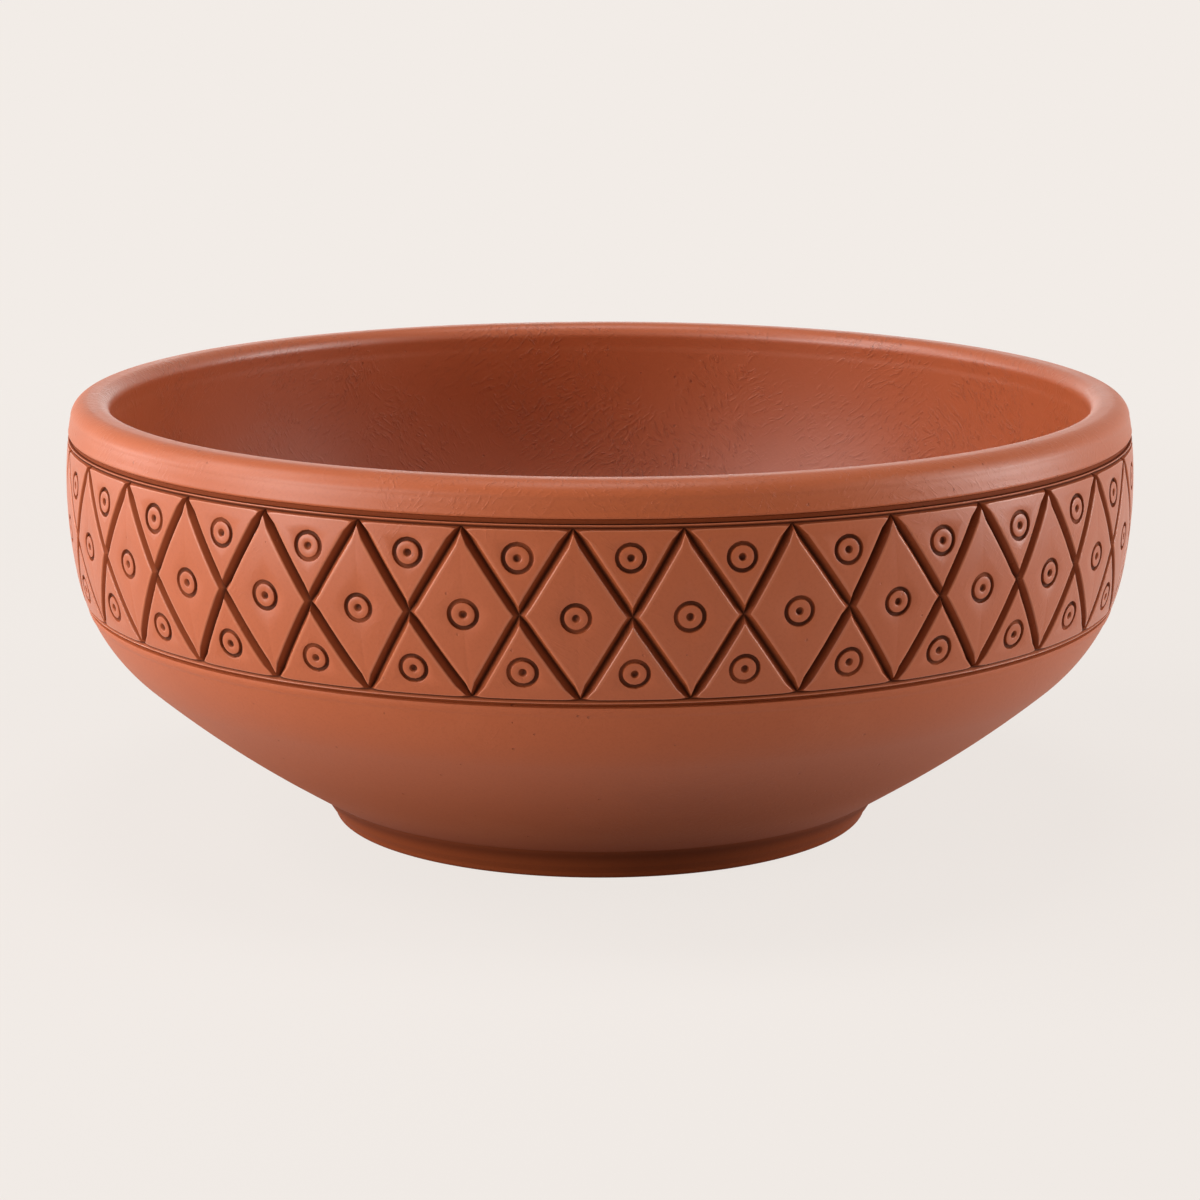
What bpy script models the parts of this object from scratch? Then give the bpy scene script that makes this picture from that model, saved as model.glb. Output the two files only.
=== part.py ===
"""A clay serving bowl: a thrown body with a foot ring, a carved belt and a rim collar luted to it.

Lengths are metres and angles are radians. +Z is up, and the origin is the centre of the foot's
resting face. Every piece is turned about Z. A point of the bowl's wall is given by its heading,
the angle at which the outline climbs there: 0 runs outwards and a right angle runs straight up.
"""
import math

import bmesh
import bpy

# Driving dimensions of the bowl
BELLY_RADIUS = 0.140
BELLY_HEIGHT = 0.0902
RIM_HEIGHT = 0.1132
WALL_THICKNESS = 0.0102
FLOOR_UNDERSIDE = 0.0070
FLOOR_TOP = 0.0165

# The wall's outline is three arcs, which meet where the heading reaches these angles
FLANK_RADIUS = 0.300
SHOULDER_RADIUS = 0.046
BAND_RADIUS = 0.120
FLANK_END = math.radians(41.3)
SHOULDER_END = math.radians(79.4)
FLOOR_FILLET = 0.060

# Seams: slip between two clay faces, with a small clearance on either side of it
CLEARANCE = 0.0003
SLIP = 0.0006
SEAM = SLIP + 2 * CLEARANCE
SLIP_SETBACK = 0.0012

# Carved belt, measured up the wall and into it
LEDGE_HEIGHT = 0.0597
WALL_TOP = 0.1034
BELT_THICKNESS = 0.0036
DIAMONDS = 34
LATTICE_TURN = 0.29
LATTICE_MARGIN = 0.0008
GROOVE_HALF_WIDTH = 0.00145
GROOVE_EXTRA = 0.00008
GROOVE_POINTS = 5
GROOVE_OVERRUN = 0.0028

# Rim collar
LIP_OUTER_FILLET = 0.0036
LIP_INNER_FILLET = 0.0024
COLLAR_EDGE = 0.0004

# Foot ring
FOOT_WIDTH = 0.0125
FOOT_TAPER = 0.0022
FOOT_EDGE = 0.0014
FOOT_SETBACK = 0.0004

# Facets of the turned shapes
SEGMENTS = 2 * DIAMONDS
HEADING_STEP = math.radians(8)
FILLET_STEPS = 3
SHARP_ANGLE = math.radians(30)
MERGE_DISTANCE = 1e-5

# Searches along the outline
STEEPEST_HEADING = math.radians(108)
HALVINGS = 60

# Finishes
FIRED_CLAY = (0.435, 0.096, 0.028, 1.0)
CLAY_ROUGHNESS = 0.55
FIRED_SLIP = (0.200, 0.038, 0.009, 1.0)
SLIP_ROUGHNESS = 0.75


def wall_point(heading, depth=0.0):
    """The (radius, height) of the outline at a heading, moved into the clay by depth."""
    sine, cosine = math.sin(heading), math.cos(heading)
    radius, height = BELLY_RADIUS - BAND_RADIUS, BELLY_HEIGHT
    arc = BAND_RADIUS
    for end, lower_arc in ((SHOULDER_END, SHOULDER_RADIUS), (FLANK_END, FLANK_RADIUS)):
        if heading < end:
            radius += (arc - lower_arc) * math.sin(end)
            height -= (arc - lower_arc) * math.cos(end)
            arc = lower_arc
    return radius + (arc - depth) * sine, height - (arc - depth) * cosine


def heading_at(height, depth=0.0):
    """The heading at which the outline, moved in by depth, reaches a height."""
    low, high = 0.0, STEEPEST_HEADING
    for _ in range(HALVINGS):
        middle = (low + high) / 2
        if wall_point(middle, depth)[1] < height:
            low = middle
        else:
            high = middle
    return low


def wall_run(start, end, depth=0.0):
    """Points along the outline from one heading to another, at one depth into the clay."""
    steps = max(1, math.ceil(abs(end - start) / HEADING_STEP))
    return [wall_point(start + (end - start) * step / steps, depth) for step in range(steps + 1)]


def fillet(centre, radius, start, end):
    """Points of an arc about centre, from one angle to another, in degrees."""
    points = []
    for step in range(FILLET_STEPS + 1):
        angle = math.radians(start + (end - start) * step / FILLET_STEPS)
        points.append((centre[0] + radius * math.cos(angle), centre[1] + radius * math.sin(angle)))
    return points


def clay(name, colour, roughness):
    """A matt fired-clay material."""
    material = bpy.data.materials.new(name)
    material.use_nodes = True
    shader = material.node_tree.nodes["Principled BSDF"]
    shader.inputs["Base Color"].default_value = colour
    shader.inputs["Roughness"].default_value = roughness
    shader.inputs["Metallic"].default_value = 0.0
    material.diffuse_color = colour
    return material


def as_mesh(source, name):
    """The evaluated shape of an object as a merged mesh, after which the object is removed."""
    graph = bpy.context.evaluated_depsgraph_get()
    mesh = bpy.data.meshes.new_from_object(source.evaluated_get(graph))
    mesh.name = name
    work = bmesh.new()
    work.from_mesh(mesh)
    bmesh.ops.remove_doubles(work, verts=work.verts, dist=MERGE_DISTANCE)
    work.to_mesh(mesh)
    work.free()
    bpy.data.objects.remove(source)
    return mesh


def turned(name, profile, is_ring, material, collection):
    """A solid of revolution: profile runs over the top and down its outer side, at +X."""
    mesh = bpy.data.meshes.new(name + "_profile")
    edges = [(i, i + 1) for i in range(len(profile) - 1)]
    if is_ring:
        edges.append((len(profile) - 1, 0))
    mesh.from_pydata([(radius, 0.0, height) for radius, height in profile], edges, [])
    outline = bpy.data.objects.new(name + "_profile", mesh)
    collection.objects.link(outline)
    screw = outline.modifiers.new("Turn", "SCREW")
    screw.axis = "Z"
    screw.angle = math.tau
    screw.steps = screw.render_steps = SEGMENTS
    screw.use_merge_vertices = True
    screw.merge_threshold = MERGE_DISTANCE
    solid = as_mesh(outline, name)
    solid.shade_smooth()
    solid.set_sharp_from_angle(angle=SHARP_ANGLE)
    solid.materials.clear()
    solid.materials.append(material)
    piece = bpy.data.objects.new(name, solid)
    collection.objects.link(piece)
    return piece


def floor_run():
    """The inside of the floor, from the axis to where its fillet meets the inner wall."""
    low, high = 0.0, FLANK_END
    for _ in range(HALVINGS):
        middle = (low + high) / 2
        lift = wall_point(middle, WALL_THICKNESS)[1] - FLOOR_TOP
        if lift < FLOOR_FILLET * (1 - math.cos(middle)):
            low = middle
        else:
            high = middle
    flat = wall_point(low, WALL_THICKNESS)[0] - FLOOR_FILLET * math.sin(low)
    centre = (flat, FLOOR_TOP + FLOOR_FILLET)
    return [(0.0, FLOOR_TOP)] + fillet(centre, FLOOR_FILLET, -90, math.degrees(low) - 90), low


def bowl_body(material, collection):
    """Floor and wall: the wall steps in at a ledge to seat the belt, and ends in a flat edge."""
    inside, wall_start = floor_run()
    seat = BELT_THICKNESS + SEAM
    inner_top = heading_at(WALL_TOP, WALL_THICKNESS)
    seat_top = heading_at(WALL_TOP, seat)
    ledge = heading_at(LEDGE_HEIGHT)
    profile = inside[:-1]
    profile += wall_run(wall_start, inner_top, WALL_THICKNESS)
    profile += wall_run(seat_top, ledge, seat)
    profile += wall_run(ledge, heading_at(FLOOR_UNDERSIDE))
    profile.append((0.0, FLOOR_UNDERSIDE))
    return turned("bowl_body", profile, False, material, collection)


def foot_ring(material, collection):
    """The ring under the floor: a tapered outer side, a flat resting face, a plain inner side."""
    top = FLOOR_UNDERSIDE - SEAM
    outer = wall_point(heading_at(FLOOR_UNDERSIDE))[0] - FOOT_SETBACK
    inner = outer - FOOT_WIDTH
    profile = [(inner, top), (outer, top)]
    profile += fillet((outer - FOOT_TAPER - FOOT_EDGE, FOOT_EDGE), FOOT_EDGE, 0, -90)
    profile += fillet((inner + FOOT_EDGE, FOOT_EDGE), FOOT_EDGE, -90, -180)
    return turned("foot_ring", profile, True, material, collection)


def foot_slip_seam(material, collection):
    """The washer of slip between foot and floor."""
    outer = wall_point(heading_at(FLOOR_UNDERSIDE))[0] - FOOT_SETBACK
    top = FLOOR_UNDERSIDE - CLEARANCE
    edge = outer - SLIP_SETBACK
    inner = outer - FOOT_WIDTH + SLIP_SETBACK
    profile = [(inner, top), (edge, top), (edge, top - SLIP), (inner, top - SLIP)]
    return turned("foot_slip_seam", profile, True, material, collection)


def belt_bottom():
    """The heading of the belt's lower edge, one seam above the wall's ledge."""
    return heading_at(LEDGE_HEIGHT) + SEAM / SHOULDER_RADIUS


def belt_solid(material, collection):
    """The belt before carving, which keeps the wall's own outline."""
    top, bottom = heading_at(WALL_TOP), belt_bottom()
    profile = wall_run(top, bottom) + wall_run(bottom, top, BELT_THICKNESS)
    return turned("carved_belt", profile, True, material, collection)


def belt_heading(below, top):
    """The heading at a distance down the belt's face from the heading of its top."""
    upper_length = BAND_RADIUS * (top - SHOULDER_END)
    if below < upper_length:
        return top - below / BAND_RADIUS
    return SHOULDER_END - (below - upper_length) / SHOULDER_RADIUS


def lattice_cutter(name, lean, half_width, collection):
    """One family of diagonal grooves, square in section and standing on an edge in the wall.

    Each groove crosses the belt once while it goes round by one diamond, to the side of lean.
    """
    top = heading_at(WALL_TOP) - LATTICE_MARGIN / BAND_RADIUS
    bottom = belt_bottom() + LATTICE_MARGIN / SHOULDER_RADIUS
    length = BAND_RADIUS * (top - SHOULDER_END) + SHOULDER_RADIUS * (SHOULDER_END - bottom)
    data = bpy.data.curves.new(name, "CURVE")
    data.dimensions = "3D"
    data.twist_mode = "Z_UP"
    data.bevel_depth = half_width
    data.bevel_resolution = 0
    data.use_fill_caps = True
    for diamond in range(DIAMONDS):
        spline = data.splines.new("POLY")
        spline.points.add(GROOVE_POINTS - 1)
        for index, point in enumerate(spline.points):
            share = index / (GROOVE_POINTS - 1)
            below = share * (length + 2 * GROOVE_OVERRUN) - GROOVE_OVERRUN
            radius, height = wall_point(belt_heading(below, top))
            turn = math.tau * (diamond + lean * below / length + LATTICE_TURN) / DIAMONDS
            point.co = (radius * math.cos(turn), radius * math.sin(turn), height, 1.0)
    curve = bpy.data.objects.new(name + "_path", data)
    collection.objects.link(curve)
    cutter = bpy.data.objects.new(name, as_mesh(curve, name))
    cutter.display_type = "WIRE"
    cutter.hide_render = True
    collection.objects.link(cutter)
    return cutter


def carved_belt(material, collection, cutters):
    """The belt with both families of grooves cut into it, which leaves diamonds and triangles.

    The second family is a hair deeper, so that its valleys run clean through the first.
    """
    belt = belt_solid(material, collection)
    families = (
        ("grooves_leaning_right", 1, GROOVE_HALF_WIDTH),
        ("grooves_leaning_left", -1, GROOVE_HALF_WIDTH + GROOVE_EXTRA),
    )
    for name, lean, half_width in families:
        carve = belt.modifiers.new(name, "BOOLEAN")
        carve.operation = "DIFFERENCE"
        carve.solver = "MANIFOLD"
        carve.object = lattice_cutter(name, lean, half_width, cutters)
    return belt


def belt_slip_seam(material, collection):
    """The sleeve of slip behind the belt, with a flange turned out under the belt's lower edge."""
    front, back = BELT_THICKNESS + CLEARANCE, BELT_THICKNESS + CLEARANCE + SLIP
    ledge = heading_at(LEDGE_HEIGHT)
    low = ledge + CLEARANCE / SHOULDER_RADIUS
    high = low + SLIP / SHOULDER_RADIUS
    top = heading_at(WALL_TOP) - CLEARANCE / BAND_RADIUS
    profile = wall_run(top, high, front)
    profile += [wall_point(high, SLIP_SETBACK), wall_point(low, SLIP_SETBACK)]
    profile += wall_run(low, top, back)
    return turned("belt_slip_seam", profile, True, material, collection)


def rim_slip_seam(material, collection):
    """The washer of slip between the wall's top edge and the collar, flush with the inside."""
    bottom = WALL_TOP + CLEARANCE
    inner = wall_point(heading_at(WALL_TOP, WALL_THICKNESS), WALL_THICKNESS)[0]
    outer = wall_point(heading_at(WALL_TOP))[0] - SLIP_SETBACK
    profile = [(inner, bottom + SLIP), (outer, bottom + SLIP), (outer, bottom), (inner, bottom)]
    return turned("rim_slip_seam", profile, True, material, collection)


def rim_collar(material, collection):
    """The collar and lip: a square coil with a soft outer shoulder and a tighter inner edge."""
    bottom = WALL_TOP + SEAM
    outer_foot = heading_at(bottom + COLLAR_EDGE)
    outer_head = heading_at(RIM_HEIGHT - LIP_OUTER_FILLET)
    inner_foot = wall_point(heading_at(bottom, WALL_THICKNESS), WALL_THICKNESS)
    inner_head = wall_point(heading_at(RIM_HEIGHT, WALL_THICKNESS), WALL_THICKNESS)[0]
    shoulder_centre = (
        wall_point(outer_head)[0] - LIP_OUTER_FILLET,
        RIM_HEIGHT - LIP_OUTER_FILLET,
    )
    inner_centre = (inner_head + LIP_INNER_FILLET, RIM_HEIGHT - LIP_INNER_FILLET)
    profile = fillet(inner_centre, LIP_INNER_FILLET, 180, 90)
    profile += fillet(shoulder_centre, LIP_OUTER_FILLET, 90, 0)
    profile.append(wall_point(outer_foot))
    profile.append((wall_point(outer_foot)[0] - COLLAR_EDGE, bottom))
    profile.append(inner_foot)
    return turned("rim_collar", profile, True, material, collection)


def new_collection(name):
    """A collection of that name, linked to the scene."""
    collection = bpy.data.collections.new(name)
    bpy.context.scene.collection.children.link(collection)
    return collection


def main():
    """Clears the scene and builds every piece of the bowl."""
    for leftover in list(bpy.data.objects):
        bpy.data.objects.remove(leftover)
    parts = new_collection("clay_serving_bowl")
    cutters = new_collection("cutters")
    fired = clay("fired_clay", FIRED_CLAY, CLAY_ROUGHNESS)
    slip = clay("fired_slip", FIRED_SLIP, SLIP_ROUGHNESS)
    bowl_body(fired, parts)
    foot_ring(fired, parts)
    foot_slip_seam(slip, parts)
    carved_belt(fired, parts, cutters)
    belt_slip_seam(slip, parts)
    rim_collar(fired, parts)
    rim_slip_seam(slip, parts)


main()
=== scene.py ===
"""The look of a carved clay serving bowl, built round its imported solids.

All clay pieces follow one outline that is turned about the upright axis. The carved belt is laid
out flat, tile by tile, and is then rolled onto that outline. Lengths are in metres.
"""

import logging
import math
from dataclasses import dataclass, field, replace
from enum import Enum
from typing import Any

import bmesh
import bpy
import numpy as np
from numpy.typing import NDArray
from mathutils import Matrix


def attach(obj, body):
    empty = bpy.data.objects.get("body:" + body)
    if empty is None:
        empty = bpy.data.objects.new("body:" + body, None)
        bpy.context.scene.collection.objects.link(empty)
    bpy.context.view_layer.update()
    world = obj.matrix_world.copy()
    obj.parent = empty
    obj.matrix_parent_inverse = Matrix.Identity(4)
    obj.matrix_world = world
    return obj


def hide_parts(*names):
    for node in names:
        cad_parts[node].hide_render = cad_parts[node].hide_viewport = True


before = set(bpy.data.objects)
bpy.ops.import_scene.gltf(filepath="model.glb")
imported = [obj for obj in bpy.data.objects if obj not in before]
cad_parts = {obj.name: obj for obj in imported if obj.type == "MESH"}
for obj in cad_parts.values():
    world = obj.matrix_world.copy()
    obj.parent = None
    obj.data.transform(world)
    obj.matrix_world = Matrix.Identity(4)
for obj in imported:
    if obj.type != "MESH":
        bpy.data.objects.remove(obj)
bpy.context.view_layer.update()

Floats = NDArray[np.float64]
Colour = tuple[float, float, float]
Numbers = tuple[float, ...]
LOG = logging.getLogger("clay_bowl")
MERGE_DISTANCE = 2e-6
SHARP_ANGLE = math.radians(50)
ON_AXIS = 1e-9
SHORTEST_STEP = 1e-12
BLACK = (0.0, 0.0, 0.0, 1.0)
INSIDE_BURNISH = 1.55
# Share of painted shade laid over the bowl's inside, darkening it as if less light reached it.
INSIDE_PAINTED_SHADE = 0.36


def ease(share: Floats) -> Floats:
    """Smooth step from 0 to 1: three times the square less twice the cube of the clamped share."""
    share = np.clip(share, 0.0, 1.0)
    return share * share * (3.0 - 2.0 * share)


def arc(centre: tuple[float, float], radius: float, start: float, end: float, count: int) -> Floats:
    """An arc's (count, 2) points: centre plus radius times (cosine, sine) of even angles in degrees."""
    angle = np.radians(np.linspace(start, end, count))
    return np.stack([centre[0] + radius * np.cos(angle), centre[1] + radius * np.sin(angle)], axis=-1)


def straight(start: tuple[float, float], end: tuple[float, float], count: int) -> Floats:
    """Evenly spaced points from start to end, both included, as a (count, 2) array."""
    return np.linspace(np.asarray(start), np.asarray(end), count)


@dataclass(frozen=True)
class WallOutline:
    """The bowl's outer outline: flank, shoulder and band, three arcs that run into each other.

    A point is given by the outline's heading there: 0 is straight outwards, 90 degrees is straight up.
    """

    belly_radius: float = 0.140
    belly_height: float = 0.0902
    rim_height: float = 0.1132
    thickness: float = 0.0102
    flank_radius: float = 0.300
    shoulder_radius: float = 0.046
    band_radius: float = 0.120
    flank_end: float = math.radians(41.3)
    shoulder_end: float = math.radians(79.4)
    table_ends: tuple[float, float] = (math.radians(5), math.radians(108))
    table_size: int = 20001

    def point(self, heading: Floats | float, depth: Floats | float = 0.0) -> Floats:
        """Radius and height of the outline, moved into the clay.

        Formula: the arc's centre plus (arc radius less depth) times (sine, minus cosine) of the heading.
        Each lower arc's centre lies on the line through the end that it shares with the arc above.

        Args:
            heading: one heading or an array of them, in radians.
            depth: distance into the clay, square to the outline.

        Returns:
            (..., 2) radii and heights.
        """
        heading = np.asarray(heading, float)
        middle = np.array([self.belly_radius - self.band_radius, self.belly_height])
        joint = np.array([math.sin(self.shoulder_end), -math.cos(self.shoulder_end)])
        shoulder_middle = middle + (self.band_radius - self.shoulder_radius) * joint
        joint = np.array([math.sin(self.flank_end), -math.cos(self.flank_end)])
        flank_middle = shoulder_middle + (self.shoulder_radius - self.flank_radius) * joint
        on_band = (heading >= self.shoulder_end)[..., None]
        on_shoulder = (heading >= self.flank_end)[..., None]
        centre = np.where(on_band, middle, np.where(on_shoulder, shoulder_middle, flank_middle))
        radius = np.where(
            on_band, self.band_radius, np.where(on_shoulder, self.shoulder_radius, self.flank_radius)
        )
        normal = np.stack([np.sin(heading), -np.cos(heading)], axis=-1)
        return centre + (radius - np.asarray(depth)[..., None]) * normal

    def heading_at(self, height: float, depth: float = 0.0) -> float:
        """The heading at which the outline, moved in by depth, reaches a height, read off a fine table."""
        headings = np.linspace(*self.table_ends, self.table_size)
        return float(np.interp(height, self.point(headings, depth)[:, 1], headings))

    def run(self, start: float, end: float, depth: float, count: int) -> Floats:
        """The outline's (count, 2) points from one height to another, at one depth into the clay."""
        ends = self.heading_at(start, depth), self.heading_at(end, depth)
        return self.point(np.linspace(*ends, count), depth)


@dataclass(frozen=True)
class Seams:
    """Where the luted pieces meet, and how the slip sits between them."""

    clearance: float = 0.00002
    gap: float = 0.0012
    setback: float = 0.00075
    foot_slip_setback: float = 0.00012
    ledge_height: float = 0.0597
    wall_top: float = 0.1034
    floor_underside: float = 0.0070
    belt_thickness: float = 0.0036
    foot_setback: float = 0.0004
    foot_width: float = 0.0125
    tuck: float = 0.0006
    tuck_width: float = 0.0012


@dataclass(frozen=True)
class HandWobble:
    """The slight unevenness of a surface that is turned by hand. It only goes into the clay."""

    size: float
    seed: int
    waves: int = 7
    most_round: int = 9
    most_slant: float = 55.0

    def depth(self, angle: Floats, along: Floats) -> Floats:
        """Depth into the clay at places on a surface.

        Formula: half of one plus the mean of a few cosine waves, times the size. Each wave has a whole
        number of crests round the axis, a slant along the outline and a start of its own.

        Args:
            angle: angles about the axis, in radians.
            along: distances along the outline, of a shape that goes with angle's.

        Returns:
            depths of the two arrays' common shape.
        """
        chance = np.random.default_rng(self.seed)
        crests = chance.integers(1, self.most_round, self.waves)
        slant = chance.uniform(-self.most_slant, self.most_slant, self.waves)
        start = chance.uniform(0.0, math.tau, self.waves)
        phase = crests * np.asarray(angle)[..., None] + slant * np.asarray(along)[..., None] + start
        return self.size * (1.0 + np.cos(phase).mean(axis=-1)) / 2.0


@dataclass
class MeshDraft:
    """Grids of points that are gathered and closed into one mesh."""

    points: list[Floats] = field(default_factory=list)
    quads: list[NDArray[np.int64]] = field(default_factory=list)
    values: dict[str, list[Floats]] = field(default_factory=dict)
    count: int = 0

    def add(self, grids: Floats, closed: bool = False, **values: Floats) -> None:
        """Adds grids whose columns close round on themselves.

        Each quad joins a point to the next one round, and both to the row after.

        Args:
            grids: (grids, rows, columns, 3) points.
            closed: whether the last row joins the first one.
            values: for each point attribute, an array that spreads over (grids, rows, columns).
        """
        units, rows, columns = grids.shape[:3]
        unit = np.arange(units)[:, None, None] * rows * columns + self.count
        row = np.arange(rows if closed else rows - 1)[None, :, None]
        column = np.arange(columns)[None, None, :]
        here, there = unit + row * columns, unit + (row + 1) % rows * columns
        after = (column + 1) % columns
        corners = np.stack([here + column, here + after, there + after, there + column], axis=-1)
        self.quads.append(corners.reshape(-1, 4))
        self.points.append(grids.reshape(-1, 3))
        for name, value in values.items():
            spread = np.broadcast_to(value, grids.shape[:3]).reshape(-1)
            self.values.setdefault(name, []).append(spread)
        self.count += units * rows * columns

    def build(self, name: str) -> bpy.types.Object:
        """The finished piece: doubles merged, faces turned outwards, smooth but for sharp edges.

        Args:
            name: the piece's name.

        Returns:
            the new object, in the scene.
        """
        mesh = bpy.data.meshes.new(name)
        mesh.from_pydata(np.concatenate(self.points).tolist(), [], np.concatenate(self.quads).tolist())
        for key, parts in self.values.items():
            layer = mesh.attributes.new(key, "FLOAT", "POINT")
            layer.data.foreach_set("value", np.concatenate(parts).astype(np.float32))
        work = bmesh.new()
        work.from_mesh(mesh)
        bmesh.ops.remove_doubles(work, verts=work.verts, dist=MERGE_DISTANCE)
        bmesh.ops.recalc_face_normals(work, faces=work.faces)
        work.to_mesh(mesh)
        work.free()
        mesh.shade_smooth()
        mesh.set_sharp_from_angle(angle=SHARP_ANGLE)
        piece = bpy.data.objects.new(name, mesh)
        bpy.context.scene.collection.objects.link(piece)
        return piece


def turned(profile: Floats, columns: int, wobble: HandWobble | None, shown: Floats | None = None) -> Floats:
    """A profile carried round the axis, with hand unevenness.

    Formula: at angle a, a profile point goes to (radius cos a, radius sin a, height). The profile goes up
    the outside and down the inside, so its right-hand side is air, and wobble moves it to the left.

    Args:
        profile: (rows, 2) radii and heights.
        columns: number of directions round the axis.
        wobble: the unevenness, if there is any.
        shown: (rows,) share of the unevenness that each row takes.

    Returns:
        (1, rows, columns, 3) points.
    """
    angle = np.linspace(0.0, math.tau, columns, endpoint=False)
    step = np.gradient(profile, axis=0)
    step /= np.maximum(np.linalg.norm(step, axis=1, keepdims=True), SHORTEST_STEP)
    along = np.concatenate([[0.0], np.cumsum(np.linalg.norm(np.diff(profile, axis=0), axis=1))])
    depth = np.zeros((len(profile), columns))
    if wobble is not None:
        depth = wobble.depth(angle[None, :], along[:, None])
        depth = depth * (1.0 if shown is None else shown[:, None])
    off_axis = profile[:, :1] > ON_AXIS
    radius = np.where(off_axis, profile[:, :1] - depth * step[:, 1:], 0.0)
    height = profile[:, 1:] + np.where(off_axis, depth * step[:, :1], 0.0)
    return np.stack([radius * np.cos(angle), radius * np.sin(angle), height], axis=-1)[None]


@dataclass
class NodeMap:
    """Adds nodes to one node tree and joins them."""

    tree: bpy.types.NodeTree

    def add(self, kind: str, inputs: dict[str | int, Any], **settings: Any) -> bpy.types.Node:
        """A new node.

        Args:
            kind: the node's type.
            inputs: what its inputs are fed, as for feed.
            settings: the node's own settings.

        Returns:
            the node.
        """
        node = self.tree.nodes.new(kind)
        for key, value in settings.items():
            setattr(node, key, value)
        self.feed(node, inputs)
        return node

    def feed(self, node: bpy.types.Node, inputs: dict[str | int, Any]) -> None:
        """Gives a node's inputs their values, or joins them to outputs.

        Args:
            node: the node.
            inputs: a value, or an output to join, for each input by name or number.
        """
        for key, value in inputs.items():
            if isinstance(value, bpy.types.NodeSocket):
                self.tree.links.new(value, node.inputs[key])
            else:
                node.inputs[key].default_value = value

    def attribute(self, name: str) -> Any:
        """The value of one of the mesh's point attributes."""
        return self.add("ShaderNodeAttribute", {}, attribute_name=name).outputs["Fac"]

    def math(self, operation: str, *values: Any) -> bpy.types.NodeSocket:
        """The result of a math node."""
        return self.add("ShaderNodeMath", dict(enumerate(values)), operation=operation).outputs[0]

    def mix(self, share: Any, first: Any, second: Any) -> bpy.types.NodeSocket:
        """A colour between two colours."""
        inputs = {0: share, 6: first, 7: second}
        return self.add("ShaderNodeMix", inputs, data_type="RGBA").outputs[2]

    def ramp(self, value: Any, low: float, high: float, to_low: float = 0.0, to_high: float = 1.0) -> Any:
        """A value carried smoothly from one range to another, and held at its ends."""
        inputs = {0: value, 1: low, 2: high, 3: to_low, 4: to_high}
        return self.add("ShaderNodeMapRange", inputs, interpolation_type="SMOOTHSTEP").outputs[0]

    def noise(
        self, place: Any, scale: float, detail: float, roughness: float = 0.5, output: int = 0
    ) -> Any:
        """A noise texture at a place: its value, or its colour from output 1."""
        inputs = {"Vector": place, "Scale": scale, "Detail": detail, "Roughness": roughness}
        return self.add("ShaderNodeTexNoise", inputs).outputs[output]

    def stretched(self, place: Any, scale: Colour) -> Any:
        """A place scaled unevenly, which draws a texture out into streaks."""
        return self.add("ShaderNodeVectorMath", {0: place, 1: scale}, operation="MULTIPLY").outputs[0]


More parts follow.
